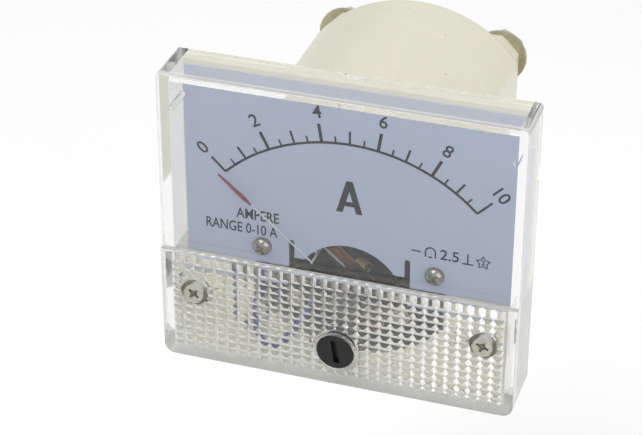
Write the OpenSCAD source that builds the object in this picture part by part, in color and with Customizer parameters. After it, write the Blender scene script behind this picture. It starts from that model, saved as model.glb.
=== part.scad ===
// Analog panel meter with a moving coil movement.
// +Z is up as mounted, the front faces -Y, and the origin is the centre of the
// plane where the flange meets the panel. All sizes are in millimetres.

/* [Cover] */
// Width of the front cover
panel_w = 64; // [62:0.5:70]
// Height of the front cover
panel_h = 56; // [54:0.5:60]
// Distance from the panel plane to the front of the window
window_front = 10.1; // [9.6:0.1:12]
// How far the patterned band stands in front of the window
band_step = 0.9; // [0.4:0.1:1.6]
// Height of the ledge where the band begins
ledge_z = -6; // [-8:0.5:-5]
// Thickness of the cover's side walls
cover_wall = 1.8; // [1.4:0.1:2.2]
// Thickness of the cover's front
front_t = 2; // [1.6:0.1:2.2]
// Radius of the lower corners
low_corner_r = 2; // [1:0.5:4]
// Radius of the upper corners
top_corner_r = 0.7; // [0.3:0.1:2]
// Distance of each cover screw from the side of the cover
cover_screw_in = 5.85; // [5.5:0.05:7]
// Height of the cover screws
cover_screw_z = -14.5; // [-16:0.5:-12]

/* [Case] */
// Thickness of the flange
flange_t = 2; // [1.6:0.1:2.4]
// Radius of the barrel
barrel_r = 23.8; // [23.2:0.1:24]
// Height of the barrel's axis
barrel_z = 0; // [-0.2:0.1:0.2]
// Half the distance between the barrel's flats
flat_x = 18.8; // [18.5:0.1:19.5]
// Thickness of the barrel's wall
barrel_wall = 1.4; // [1.2:0.1:1.6]
// Length of the barrel behind the panel plane
barrel_len = 39; // [38.5:0.5:41]
// Thickness of the barrel's floor
floor_t = 2; // [1.5:0.25:2.5]
// Radius of the barrel's rear rim
rim_r = 1.8; // [1:0.1:2.4]
// How far the terminal pads stand behind the floor
pad_step = 2; // [1:0.5:3]

/* [Dial] */
// Gap between the dial and the cover's side walls
dial_side_gap = 0.4; // [0.2:0.1:1.2]
// Height of the dial's lower edge
dial_low_z = -10.5; // [-11:0.1:-10]
// Gap between the dial and the cover's upper wall
dial_top_gap = 1.1; // [0.6:0.1:5]
// Thickness of the dial plate
dial_t = 0.35; // [0.3:0.05:0.5]
// Radius of the cut-out over the movement
cutout_r = 9.85; // [9.6:0.05:10]
// Centre height of the cut-out
cutout_z = -14; // [-14.2:0.05:-13.9]
// Height of the cut-out's shoulders above the dial's lower edge
shoulder_up = 2.05; // [1.5:0.05:2.5]
// Distance of each dial slot from the middle
slot_x = 10.5; // [10.3:0.05:10.8]
// Height of the dial slots above the dial's lower edge
slot_up = 5.65; // [5:0.05:6]
// Centre height of the scale arc
arc_z = -15.6; // [-16:0.1:-15]
// Radius of the scale arc
arc_r = 31.75; // [31:0.25:32.25]
// Length of the long division marks
long_mark = 3.55; // [3:0.05:4]
// Length of the middle division marks
middle_mark = 2.55; // [2:0.05:3]
// Length of the short division marks
short_mark = 1.3; // [1:0.05:2]
// Angle between two neighbouring division marks
division_deg = 4.5; // [4:0.1:4.6]
// Distance of each dial screw from the middle
dial_screw_x = 15.65; // [15.4:0.05:15.8]
// Height of the dial screws
dial_screw_z = -6.7; // [-7:0.1:-6.4]

/* [Movement] */
// Height of the pointer's axis
pivot_z = -13.2; // [-13.4:0.1:-13]
// Angle of the resting pointer from upright
rest_deg = 49; // [46:0.5:50]
// Length of the pointer from its axis to its tip
pointer_len = 30.84; // [29:0.2:31]
// Length of the pointer's flat tip
tip_len = 7.9; // [7:0.1:9]
// Distance from the axis to the pointer's crank
crank_r = 8.3; // [8:0.1:8.35]
// Half the width across the coil
coil_r = 7; // [6.8:0.1:7.05]
// Thickness of the winding
coil_t = 0.8; // [0.6:0.1:0.8]
// Width of the winding
coil_w = 2.2; // [1.8:0.1:2.4]
// Front of the coil behind the panel plane
coil_front = 2.6; // [2.6:0.1:2.8]
// Rear of the coil behind the panel plane
coil_rear = 16; // [15.8:0.1:16]
// Radius of the iron core
core_r = 5.4; // [5:0.1:5.6]
// Radius of the bore between the pole pieces
pole_bore_r = 7.5; // [7.4:0.1:7.7]
// Turns in each hairspring
spring_turns = 4; // [3:1:5]

// Height of the magnet's lower face
magnet_low_z = 0.5; // [0:0.1:1]
// Height of the magnet's upper face
magnet_top_z = 13.5; // [12.5:0.1:14]
// Half the width of the magnet
magnet_x = 9; // [8.5:0.1:9.2]

/* [Zero adjuster] */
// Distance of the adjuster from the cover's lower edge
adjuster_up = 6.8; // [6.2:0.1:7]
// Radius of the adjuster's head
adjuster_r = 3.3; // [3:0.1:3.5]
// Distance of the eccentric pin from the adjuster's axis
pin_offset = 1; // [0.8:0.1:1.2]

/* [Terminals] */
// Distance of each terminal from the middle
terminal_x = 14.8; // [14.4:0.1:14.8]
// Height of the terminals
terminal_z = 13.2; // [13:0.1:14]
// Radius of the terminal bolts
bolt_r = 2; // [1.5:0.1:2.1]
// Radius of the terminal washers
washer_r = 5; // [4:0.25:5]
// Where the terminal bolts end behind the panel plane
bolt_end = 48; // [47:0.5:56]

/* [Mounting studs] */
// Distance of each stud from the side of the cover
stud_in = 6.5; // [6:0.25:7]
// Distance of the studs from the cover's lower edge
stud_up = 6.5; // [6:0.25:7]
// Radius of the studs
stud_r = 1.5; // [1.25:0.25:1.5]
// Length of the studs behind the panel plane
stud_len = 14; // [10:1:20]

/* [Hidden] */
$fn = 64;
run_gap = 0.08;
screw_gap = 0.05;
part_gap = 0.15;
seat_gap = 0.15;
ledge_wall = 0.9;
front_y = -(window_front + band_step);
window_y = -window_front;
inner_window_y = window_y + front_t;
inner_band_y = front_y + front_t;
in_x = panel_w / 2 - cover_wall;
in_z = panel_h / 2 - cover_wall;
cover_screw_x = panel_w / 2 - cover_screw_in;
adjuster_z = adjuster_up - panel_h / 2;
stud_x = panel_w / 2 - stud_in;
stud_z = stud_up - panel_h / 2;
dial_w = 2 * (in_x - dial_side_gap);
dial_top_z = in_z - dial_top_gap;
in_r = barrel_r - barrel_wall;
in_flat = flat_x - barrel_wall;
floor_y = barrel_len - floor_t;
pad_y = barrel_len + pad_step;
dial_y = -flange_t - dial_t;
cover_shank_r = 1.25;
cover_head_r = 1.8;
cover_head_t = 1.2;
cover_recess = 0.15;
cover_head_y = front_y + cover_recess;
cover_seat_y = cover_head_y + cover_head_t;
post_y = -7;
post_r = 2.5;
boss_r = 3.95;
boss_front_y = front_y - 0.2;
boss_back_y = -8;
neck_r = 2.02;
head_seat_y = front_y + 1.3;
clip_t = 0.5;
clip_y = boss_back_y + 0.1;
pin_r = 0.5;
pin_end = -0.3;
dial_shank_r = 0.95;
dial_head_r = 1.7;
slot_r = 0.52;
pole_y0 = 6;
pole_y1 = 14;
pole_out_r = 11.6;
pole_x = 13.6;
bridge_x = 9.6;
pole_rim = 0.3;
pole_gap_x = 2.6;
pole_side_gap = 0.5;
magnet_y0 = 5;
bridge_y0 = -0.6;
bridge_y1 = 0.4;
rear_bridge_y0 = 17.6;
rear_bridge_y1 = 18.6;
jewel_r = 1.3;
jewel_bore_r = 0.36;
staff_r = 0.28;
hub_r = 1.1;
arm_y = 1.95;
needle_y = -3.9;
wire_r = 0.18;
lever_y0 = -1.2;
lever_y1 = -0.8;
lever_half = 1.3;
lever_room = 2.2;
spring_r0 = 1.42;
spring_r1 = 3;
hook_r = 0.35;
lever_hook_deg = 45;
stop_deg = 59.5;
pillar_x = 11.2;
pillar_z = 6;
lead_r = 0.75;
loop_up = 1.3;
pad_half = 4.4;
terminal_head_t = 2.4;
terminal_head_r = 2.4;
bolt_root_r = bolt_r - 0.25;
tag_t = 0.8;
tag_r = 2.5;
tag_half = 2;
tag_in_x = 7.5;
shunt_x = 9.4;
shunt_half = 3;
washer_t = 0.8;
spring_washer_t = 0.8;
terminal_nut_across = 7;
terminal_nut_t = 2.2;
washer_y = pad_y + washer_t;
nut_y = washer_y + spring_washer_t;
stud_washer_r = 3.5;
stud_washer_t = 0.5;
stud_nut_across = 5.5;
stud_nut_t = 2.4;
stud_root_r = stud_r - 0.2;
stud_plain = 0.6 * stud_len;
stud_nut_y = stud_plain + stud_washer_t;
stud_head_r = 2.4;
stud_head_t = 1.4;

// ---- shared shapes ----

module rod(r, y0, y1) {
  translate([0, y0, 0])
    rotate([-90, 0, 0])
      cylinder(r = r, h = y1 - y0);
}

module cone(r0, r1, y0, y1) {
  translate([0, y0, 0])
    rotate([-90, 0, 0])
      cylinder(r1 = r0, r2 = r1, h = y1 - y0);
}

module ring(r_out, r_in, y0, y1) {
  difference() {
    rod(r_out, y0, y1);
    rod(r_in, y0 - 1, y1 + 1);
  }
}

module hex(across, y0, y1) {
  translate([0, y0, 0])
    rotate([-90, 0, 0])
      rotate([0, 0, 30])
        cylinder(r = across / sqrt(3), h = y1 - y0, $fn = 6);
}

module plate(y0, y1) {
  translate([0, y1, 0])
    rotate([90, 0, 0])
      linear_extrude(height = y1 - y0)
        children();
}

module block(x0, x1, y0, y1, z0, z1) {
  translate([x0, y0, z0])
    cube([x1 - x0, y1 - y0, z1 - z0]);
}

module both_sides() {
  children();
  mirror([1, 0, 0])
    children();
}

module at(x, z) {
  translate([x, 0, z])
    children();
}

module at_pivot() {
  translate([0, 0, pivot_z])
    children();
}

module at_rest() {
  at_pivot()
    rotate([0, -rest_deg, 0])
      children();
}

// a straight round wire between two points
module straight(a, b, r) {
  d = b - a;
  len = norm(d);
  translate(a)
    rotate([0, acos(d[2] / len), atan2(d[1], d[0])])
      cylinder(r = r, h = len);
}

function unit(v) = v / norm(v);

// point at u between points[i] and points[i + 1] on a smooth curve
function curve_point(p, i, u) =
  let (
    a = p[max(i - 1, 0)],
    b = p[i],
    c = p[i + 1],
    d = p[min(i + 2, len(p) - 1)]
  )
  0.5 * (2 * b + (c - a) * u + (2 * a - 5 * b + 4 * c - d) * u * u
    + (3 * b - a - 3 * c + d) * u * u * u);

// frames carried along the path so that the wire does not twist
function carried(t, i, n) =
  i >= len(t) ? [] : let (m = unit(n - (n * t[i]) * t[i])) concat([m], carried(t, i + 1, m));

// insulated lead that runs smoothly through a list of points
module lead(points, r) {
  sides = 14;
  steps = 3;
  path = concat(
    [for (i = [0 : len(points) - 2]) for (k = [0 : steps - 1]) curve_point(points, i, k / steps)],
    [points[len(points) - 1]]
  );
  n = len(path);
  t = [for (i = [0 : n - 1]) unit(path[min(i + 1, n - 1)] - path[max(i - 1, 0)])];
  side = carried(t, 0, [1, 0.2, 0.1]);
  verts = [for (i = [0 : n - 1]) for (k = [0 : sides - 1])
    path[i] + r * (cos(360 * k / sides) * side[i] + sin(360 * k / sides) * cross(t[i], side[i]))];
  walls = [for (i = [0 : n - 2]) for (k = [0 : sides - 1])
    for (f = [0, 1])
      let (
        a = i * sides + k,
        b = i * sides + (k + 1) % sides
      )
      f == 0 ? [a, a + sides, b] : [b, a + sides, b + sides]];
  polyhedron(
    points = verts,
    faces = concat(
      [[for (k = [0 : sides - 1]) k]],
      walls,
      [[for (k = [0 : sides - 1]) (n - 1) * sides + sides - 1 - k]]
    )
  );
}

// rectangle with rounded corners, one radius below and one above
module face_2d(half_w, z_low, z_top, r_low, r_top) {
  translate([-half_w, z_low + r_low])
    square([2 * half_w, z_top - z_low - r_low - r_top]);
  translate([-half_w + r_low, z_low])
    square([2 * (half_w - r_low), r_low]);
  translate([-half_w + r_top, z_top - r_top])
    square([2 * (half_w - r_top), r_top]);
  for (s = [-1, 1]) {
    translate([s * (half_w - r_low), z_low + r_low])
      circle(r = r_low);
    translate([s * (half_w - r_top), z_top - r_top])
      circle(r = r_top);
  }
}

// rounded rectangle about the origin
module loop_2d(half_a, half_b, r) {
  square([2 * half_a, 2 * (half_b - r)], center = true);
  square([2 * (half_a - r), 2 * half_b], center = true);
  for (s = [-1, 1])
    for (t = [-1, 1])
      translate([s * (half_a - r), t * (half_b - r)])
        circle(r = r);
}

// circle cut by the barrel's two flats
module barrel_2d(r, half_flat) {
  intersection() {
    translate([0, barrel_z])
      circle(r = r);
    translate([-half_flat, -40])
      square([2 * half_flat, 80]);
  }
}

// flat spiral strip from r0 to r1, ending at the angle end_deg
module spiral_2d(r0, r1, turns, end_deg, w) {
  n = turns * 20;
  function rad(i) = r0 + (r1 - r0) * i / n;
  function ang(i) = end_deg - 360 * turns * (1 - i / n);
  outer = [for (i = [0 : n]) (rad(i) + w / 2) * [cos(ang(i)), sin(ang(i))]];
  inner = [for (i = [0 : n]) (rad(n - i) - w / 2) * [cos(ang(n - i)), sin(ang(n - i))]];
  polygon(concat(outer, inner));
}

// ---- cover ----

module front_cover() {
  color([0.9, 0.93, 0.95, 0.35])
    difference() {
      union() {
        plate(window_y, 0)
          face_2d(panel_w / 2, -panel_h / 2, panel_h / 2, low_corner_r, top_corner_r);
        plate(front_y, window_y)
          face_2d(panel_w / 2, -panel_h / 2, ledge_z, low_corner_r, 0.2);
        at(0, adjuster_z)
          rod(boss_r, boss_front_y, front_y + 0.5);
      }
      difference() {
        union() {
          block(-in_x, in_x, inner_window_y, 1, ledge_z - ledge_wall, in_z);
          block(-in_x, in_x, inner_band_y, 1, -in_z, ledge_z - ledge_wall);
        }
        at(0, adjuster_z)
          rod(boss_r, inner_band_y - 1, boss_back_y);
        both_sides()
          at(cover_screw_x, cover_screw_z)
            rod(post_r, inner_band_y - 1, post_y);
        both_sides()
          block(in_x - 0.8, in_x + 1, inner_window_y - 1, dial_y - 0.3, 20.6, 21.4);
      }
      at(0, adjuster_z) {
        rod(adjuster_r + run_gap, boss_front_y - 1, head_seat_y);
        rod(neck_r + run_gap, front_y, boss_back_y + 1);
      }
      both_sides()
        at(cover_screw_x, cover_screw_z) {
          rod(cover_head_r + seat_gap, front_y - 1, cover_seat_y);
          rod(cover_shank_r + screw_gap, front_y, post_y + 1);
        }
      block(panel_w / 2 - 0.5, panel_w / 2 + 1, -1, 1, 13.3, 16.5);
      block(-1.7, 1.7, -0.8, 1, in_z - 0.5, panel_h / 2 + 1);
    }
}

module cover_screws() {
  color([0.8, 0.79, 0.74])
    both_sides()
      at(cover_screw_x, cover_screw_z)
        difference() {
          union() {
            rod(cover_head_r, cover_head_y, cover_seat_y);
            rod(cover_shank_r, cover_seat_y, -2.6);
          }
          for (a = [0, 90])
            rotate([0, a + 40, 0])
              block(-1.1, 1.1, front_y - 1, cover_head_y + 0.7, -0.25, 0.25);
        }
}

// ---- case ----

// round barrel whose rear rim is a quarter circle
module barrel_body() {
  rotate([-90, 0, 0])
    rotate_extrude() {
      translate([0, -0.1])
        square([barrel_r - rim_r, barrel_len + 0.1]);
      translate([0, -0.1])
        square([barrel_r, barrel_len + 0.1 - rim_r]);
      intersection() {
        translate([barrel_r - rim_r, barrel_len - rim_r])
          circle(r = rim_r);
        square([barrel_r + 1, barrel_len + 1]);
      }
    }
}

module rear_case() {
  color([0.89, 0.87, 0.8])
    difference() {
      union() {
        plate(-flange_t, 0)
          square([2 * (in_x - part_gap), 2 * (in_z - part_gap)], center = true);
        intersection() {
          at(0, barrel_z)
            barrel_body();
          block(-flat_x, flat_x, -0.1, barrel_len, -40, 40);
        }
        intersection() {
          plate(floor_y + 0.1, pad_y)
            barrel_2d(barrel_r - 0.5, flat_x - 0.4);
          both_sides()
            block(terminal_x - pad_half, 30, 0, pad_y, terminal_z - 7, terminal_z + pad_half);
        }
        both_sides() {
          at(cover_screw_x, cover_screw_z)
            rod(post_r, post_y, -1);
        }
      }
      difference() {
        plate(-flange_t - 1, floor_y)
          barrel_2d(in_r, in_flat);
        both_sides() {
          at(dial_screw_x, dial_screw_z)
            rod(2.2, -flange_t - 2, 5);
          at(pillar_x, pillar_z)
            rod(2.4, pole_y1, floor_y + 1);
        }
      }
      both_sides() {
        at(cover_screw_x, cover_screw_z)
          rod(cover_shank_r + screw_gap, post_y - 1, -2.4);
        at(dial_screw_x, dial_screw_z)
          rod(dial_shank_r + screw_gap, -3, 3);
        at(pillar_x, pillar_z)
          rod(cover_shank_r + screw_gap, pole_y1 - 1, 22.4);
        at(terminal_x, terminal_z)
          rod(bolt_r + screw_gap, floor_y - 1, pad_y + 1);
        at(stud_x, stud_z)
          rod(stud_head_r + screw_gap, -stud_head_t, 1);
      }
      block(-lever_room, lever_room, -flange_t - 1, lever_y1 + 0.4, adjuster_z - 0.2, pivot_z);
    }
}

// ---- dial ----

module dial_2d() {
  difference() {
    translate([-dial_w / 2, dial_low_z])
      square([dial_w, dial_top_z - dial_low_z]);
    translate([0, cutout_z])
      circle(r = cutout_r);
    translate([-slot_x - slot_r, dial_low_z - 1])
      square([2 * (slot_x + slot_r), shoulder_up + 1]);
    for (s = [-1, 1]) {
      translate([s * slot_x - slot_r, dial_low_z])
        square([2 * slot_r, slot_up - slot_r]);
      translate([s * slot_x, dial_low_z + slot_up - slot_r])
        circle(r = slot_r);
      translate([s * dial_screw_x, dial_screw_z])
        circle(r = dial_shank_r + screw_gap);
    }
  }
}

module dial_plate() {
  color([0.66, 0.7, 0.79])
    plate(dial_y, -flange_t)
      dial_2d();
}

module tick(i) {
  edge = i == 0 || i == 20;
  mark = i % 4 == 0 ? long_mark : i % 2 == 0 ? middle_mark : short_mark;
  w = edge ? 0.42 : i % 4 == 0 ? 0.56 : i % 2 == 0 ? 0.4 : 0.32;
  rotate([0, 0, -division_deg * (i - 10)])
    translate([-w / 2, arc_r])
      square([w, mark]);
}

module scale_marks() {
  half = division_deg * 10;
  color([0.2, 0.22, 0.25])
    plate(dial_y - 0.04, dial_y)
      translate([0, arc_z]) {
        difference() {
          circle(r = arc_r + 0.22);
          circle(r = arc_r - 0.22);
          rotate([0, 0, half])
            translate([-60, -60])
              square([60, 120]);
          rotate([0, 0, -half])
            translate([0, -60])
              square([60, 120]);
        }
        for (i = [0 : 20])
          tick(i);
      }
}

module dial_screws() {
  color([0.75, 0.74, 0.7])
    both_sides()
      at(dial_screw_x, dial_screw_z)
        difference() {
          union() {
            cone(dial_head_r - 0.4, dial_head_r, dial_y - 1.3, dial_y - 0.7);
            rod(dial_head_r, dial_y - 0.7, dial_y);
            rod(dial_shank_r, dial_y, 2.6);
          }
          for (a = [0, 90])
            rotate([0, a + 20, 0])
              block(-0.95, 0.95, dial_y - 3, dial_y - 0.7, -0.2, 0.2);
        }
}

// ---- zero adjuster ----

module zero_adjuster() {
  color([0.07, 0.07, 0.08])
    at(0, adjuster_z)
      difference() {
        union() {
          rod(adjuster_r, boss_front_y + 0.15, head_seat_y - 0.05);
          rod(neck_r, head_seat_y - 0.1, clip_y + clip_t);
          at(0, pin_offset)
            rod(pin_r, clip_y, pin_end);
        }
        rotate([0, -8, 0])
          block(-0.375, 0.375, boss_front_y - 1, boss_front_y + 0.95, -2.15, 2.15);
      }
}

module adjuster_clip() {
  color([0.6, 0.6, 0.62])
    at(0, adjuster_z)
      ring(3, neck_r, clip_y, clip_y + clip_t);
}

module zero_lever() {
  reach = pivot_z - adjuster_z;
  fork_z = pin_offset + 1.8 - reach;
  color([0.72, 0.6, 0.32])
    at_pivot()
      difference() {
        union() {
          rod(2.3, lever_y0, lever_y1);
          block(-0.9, 0.9, lever_y0, lever_y1, fork_z - 0.4, 0);
          block(-lever_half, lever_half, lever_y0, lever_y1, -reach + 0.2, fork_z);
          rotate([0, lever_hook_deg, 0]) {
            block(-0.6, 0.6, lever_y0, lever_y1, -spring_r1 - hook_r, 0);
            at(0, -spring_r1)
              rod(hook_r, lever_y1 - 0.1, 1.35);
          }
        }
        rod(jewel_r + run_gap, lever_y0 - 1, lever_y1 + 1);
        block(-pin_r - 0.12, pin_r + 0.12, lever_y0 - 1, lever_y1 + 1, -reach - 1, fork_z - 0.4);
      }
}

// ---- hairsprings ----

module hairspring(y0, end_deg) {
  at_pivot()
    plate(y0, y0 + 0.4)
      spiral_2d(spring_r0, spring_r1, spring_turns, end_deg, 0.12);
}

module front_hairspring() {
  color([0.75, 0.62, 0.35])
    hairspring(0.9, 265 - lever_hook_deg);
}

module rear_hairspring() {
  color([0.75, 0.62, 0.35])
    hairspring(16.5, 265);
}

// ---- moving system, drawn upright and turned to its rest angle ----

module pointer() {
  color([0.82, 0.83, 0.84])
    at_rest()
      union() {
        straight([0, arm_y, hub_r], [0, arm_y, crank_r + wire_r], wire_r);
        straight([0, needle_y - wire_r, crank_r], [0, arm_y + wire_r, crank_r], wire_r * 1.15);
        straight([0, needle_y, crank_r - wire_r], [0, needle_y, pointer_len - tip_len], wire_r * 0.85);
      }
}

module pointer_tip() {
  z0 = pointer_len - tip_len;
  color([0.72, 0.16, 0.15])
    at_rest()
      plate(needle_y - 0.08, needle_y + 0.08)
        polygon([
          [-0.16, z0], [0.16, z0], [0.42, z0 + 2.1], [0.16, pointer_len - 0.3],
          [0.1, pointer_len], [-0.1, pointer_len], [-0.16, pointer_len - 0.3],
          [-0.42, z0 + 2.1]
        ]);
}

module balance_weights() {
  color([0.7, 0.7, 0.68])
    at_rest() {
      straight([0, arm_y, -hub_r], [0, arm_y, -2.4], 0.2);
      straight([0, arm_y, -2.4], [0, arm_y, -5.6], 0.5);
      straight([hub_r, arm_y, 0], [2.8, arm_y, 0], 0.2);
      straight([2.8, arm_y, 0], [3.8, arm_y, 0], 0.42);
      straight([-hub_r, arm_y, 0], [-2.8, arm_y, 0], 0.2);
      straight([-2.8, arm_y, 0], [-3.8, arm_y, 0], 0.42);
    }
}

module frame_loop(half, y0, y1, t, w, r) {
  mid = (y0 + y1) / 2;
  at_rest()
    translate([-w / 2, mid, 0])
      rotate([0, 90, 0])
        linear_extrude(height = w)
          difference() {
            loop_2d(half, (y1 - y0) / 2, r);
            square([2 * (half - t), y1 - y0 - 2 * t], center = true);
          }
}

module moving_coil() {
  color([0.5, 0.27, 0.14])
    frame_loop(coil_r, coil_front, coil_rear, coil_t, coil_w, 0.7);
}

module coil_former() {
  color([0.78, 0.78, 0.76])
    frame_loop(coil_r - coil_t, coil_front + coil_t, coil_rear - coil_t, 0.2, coil_w + 0.5, 0.02);
}

module pivot_hubs() {
  color([0.8, 0.82, 0.86])
    at_rest() {
      rod(hub_r, 1, coil_front);
      cone(staff_r - 0.1, staff_r, 0.2, 0.35);
      rod(staff_r, 0.35, 1.1);
      rod(hub_r, coil_rear, 17.2);
      rod(staff_r, 17.1, 17.85);
      cone(staff_r, staff_r - 0.1, 17.85, 18);
    }
}

// ---- bridges ----

module bridge_2d(tail) {
  difference() {
    union() {
      square([2 * bridge_x, 2.4], center = true);
      circle(r = 2.4);
      for (s = [-1, 1])
        translate([s * bridge_x, 0])
          circle(r = 2.3);
      translate([-0.8, -tail])
        square([1.6, tail]);
    }
    circle(r = jewel_r + screw_gap);
    for (s = [-1, 1])
      translate([s * bridge_x, 0])
        circle(r = 0.95);
  }
}

module front_bridge() {
  color([0.62, 0.56, 0.4])
    at_pivot()
      plate(bridge_y0, bridge_y1)
        bridge_2d(1);
}

module rear_bridge() {
  color([0.62, 0.56, 0.4])
    at_pivot() {
      plate(rear_bridge_y0, rear_bridge_y1)
        bridge_2d(spring_r1 + 0.6);
      at(0, -spring_r1)
        rod(hook_r, 16.4, rear_bridge_y0 + 0.1);
    }
}

module front_jewel_screw() {
  color([0.78, 0.62, 0.3])
    at_pivot()
      difference() {
        rod(jewel_r, -2.4, 0.7);
        rod(jewel_bore_r, -0.1, 1);
        block(-2, 2, -3, -1.9, -0.2, 0.2);
      }
}

module rear_jewel_screw() {
  color([0.78, 0.62, 0.3])
    at_pivot()
      difference() {
        rod(jewel_r, 17.5, 20.6);
        rod(jewel_bore_r, 17, 18.3);
        block(-2, 2, 20.1, 21, -0.2, 0.2);
      }
}

module jewel_lock_nuts() {
  color([0.78, 0.62, 0.3])
    at_pivot()
      difference() {
        union() {
          hex(4, -2.1, -1.4);
          hex(4, rear_bridge_y1, 19.5);
        }
        rod(jewel_r + screw_gap, -3, 21);
      }
}

module bridge_posts() {
  color([0.7, 0.6, 0.38])
    at_pivot()
      both_sides()
        at(bridge_x, 0) {
          ring(1.7, 0.95, bridge_y1, pole_y0);
          ring(1.7, 0.95, pole_y1, rear_bridge_y0);
        }
}

module bridge_screws() {
  color([0.75, 0.74, 0.7])
    at_pivot()
      both_sides()
        at(bridge_x, 0)
          difference() {
            union() {
              rod(1.7, bridge_y0 - 1, bridge_y0);
              rod(0.9, bridge_y0, 9);
              rod(1.7, rear_bridge_y1, rear_bridge_y1 + 1);
              rod(0.9, 11, rear_bridge_y1);
            }
            block(-2, 2, bridge_y0 - 2, bridge_y0 - 0.5, -0.2, 0.2);
            block(-2, 2, rear_bridge_y1 + 0.5, rear_bridge_y1 + 2, -0.2, 0.2);
          }
}

// ---- core, poles and magnet ----

module iron_core() {
  color([0.3, 0.31, 0.33])
    at_pivot()
      ring(core_r, 0.95, 6.6, 13);
}

module core_screw() {
  color([0.82, 0.66, 0.3])
    at_pivot() {
      rod(1.6, 6, 6.6);
      rod(0.9, 6.6, 13.8);
    }
}

module core_bracket() {
  color([0.7, 0.6, 0.38])
    at_pivot()
      difference() {
        block(-8.6, 8.6, 13, pole_y1, -1.2, 1.2);
        rod(0.95, 12, 15);
      }
}

module pole_2d() {
  difference() {
    intersection() {
      union() {
        translate([0, pivot_z])
          circle(r = pole_out_r);
        translate([magnet_x, pivot_z])
          square([pole_x - magnet_x, magnet_top_z + pole_rim - pivot_z]);
      }
      translate([0, barrel_z])
        circle(r = in_r - pole_side_gap);
      translate([pole_gap_x, pivot_z - 5.3])
        square([20, 40]);
    }
    translate([0, pivot_z])
      circle(r = pole_bore_r);
    translate([bridge_x, pivot_z])
      circle(r = 0.95);
    translate([pillar_x, pillar_z])
      circle(r = cover_shank_r + screw_gap);
  }
}

module pole_piece() {
  color([0.33, 0.34, 0.36])
    difference() {
      plate(pole_y0, pole_y1)
        pole_2d();
      block(0, 8.6, 13, pole_y1 + 1, pivot_z - 1.2, pivot_z + 1.2);
    }
}

module right_pole_piece() {
  pole_piece();
}

module left_pole_piece() {
  mirror([1, 0, 0])
    pole_piece();
}

module magnet() {
  color([0.25, 0.25, 0.27])
    block(-magnet_x, magnet_x, magnet_y0, pole_y1, magnet_low_z, magnet_top_z);
}

module movement_screws() {
  color([0.75, 0.74, 0.7])
    both_sides()
      at(pillar_x, pillar_z)
        difference() {
          union() {
            rod(2.2, pole_y0 - 1.3, pole_y0);
            rod(cover_shank_r, pole_y0, 22);
          }
          block(-3, 3, pole_y0 - 2, pole_y0 - 0.7, -0.25, 0.25);
        }
}

module pointer_stops() {
  color([0.45, 0.45, 0.46])
    at_pivot()
      for (s = [-1, 1])
        rotate([0, s * stop_deg, 0])
          at(0, crank_r)
            rod(0.3, 1.2, pole_y0);
}

// ---- inner wiring ----

module terminal_tags() {
  color([0.8, 0.68, 0.4])
    both_sides()
      difference() {
        union() {
          at(terminal_x, terminal_z)
            rod(tag_r, floor_y - tag_t, floor_y);
          block(tag_in_x, terminal_x, floor_y - tag_t, floor_y, terminal_z - tag_half, terminal_z + tag_half);
          block(9.8, 12.4, floor_y - tag_t, floor_y, terminal_z - 3.8, terminal_z);
        }
        at(terminal_x, terminal_z)
          rod(bolt_r + screw_gap, floor_y - 3, floor_y + 1);
      }
}

module shunt_strip() {
  color([0.7, 0.5, 0.36])
    block(-shunt_x, shunt_x, floor_y - 2 * tag_t, floor_y - tag_t, terminal_z - shunt_half, terminal_z + shunt_half);
}

module blue_lead() {
  y_tag = floor_y - tag_t - lead_r - 0.05;
  y_front = -3.4;
  loop_z = loop_up - in_z;
  color([0.16, 0.2, 0.5])
    lead([
      [-11.1, y_tag, 10], [-13.6, y_tag - 1.4, 9.4], [-15.9, 31, 6.4], [-16.3, 22, 0],
      [-16.2, 13, -8], [-15.9, 8, -11.4], [-15, 2, -13.4], [-14.6, -2.2, -14.4],
      [-14.9, y_front, -16.2], [-15.2, y_front, -18.4], [-15.2, y_front, loop_z + 2.5],
      [-14.7, y_front, loop_z + 0.9], [-13.6, y_front, loop_z], [-12.2, y_front, loop_z],
      [-10.9, y_front, loop_z + 1.1], [-9, y_front, loop_z + 3.9], [-7.4, y_front, -17.6],
      [-6.7, -2.8, -15.2], [-6.3, bridge_y0 - lead_r - 0.05, -13.4],
      [-6.2, bridge_y0 - lead_r - 0.05, -12.6]
    ], lead_r);
}

module red_lead() {
  y_tag = floor_y - tag_t - lead_r - 0.05;
  y_end = rear_bridge_y1 + lead_r + 0.05;
  color([0.6, 0.12, 0.1])
    lead([
      [11.1, y_tag, 10], [13.6, y_tag - 1.4, 9.4], [15.9, 31, 6.4], [15.6, 26, -2],
      [12, 22.8, -8], [8.2, 21, -10.6], [6, y_end + 0.3, -12.4], [4.6, y_end, -13.2]
    ], lead_r);
}

// ---- terminals ----

module terminal_bolts() {
  color([0.82, 0.8, 0.72])
    both_sides()
      at(terminal_x, terminal_z)
        union() {
          rod(terminal_head_r, floor_y - tag_t - terminal_head_t, floor_y - tag_t);
          rod(bolt_root_r, floor_y - tag_t - 0.1, nut_y + terminal_nut_t);
          rod(bolt_r, nut_y + terminal_nut_t, bolt_end - 0.6);
          cone(bolt_r, bolt_r - 0.6, bolt_end - 0.6, bolt_end);
        }
}

module terminal_washers() {
  color([0.7, 0.66, 0.55])
    both_sides()
      at(terminal_x, terminal_z)
        ring(washer_r, bolt_r + part_gap, pad_y, washer_y);
}

module terminal_spring_washers() {
  color([0.8, 0.8, 0.78])
    both_sides()
      at(terminal_x, terminal_z)
        difference() {
          ring(washer_r - 1.4, bolt_r + 0.1, washer_y, nut_y);
          rotate([0, 20, 0])
            block(0, washer_r, pad_y, nut_y + 1, -0.3, 0.3);
        }
}

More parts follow.
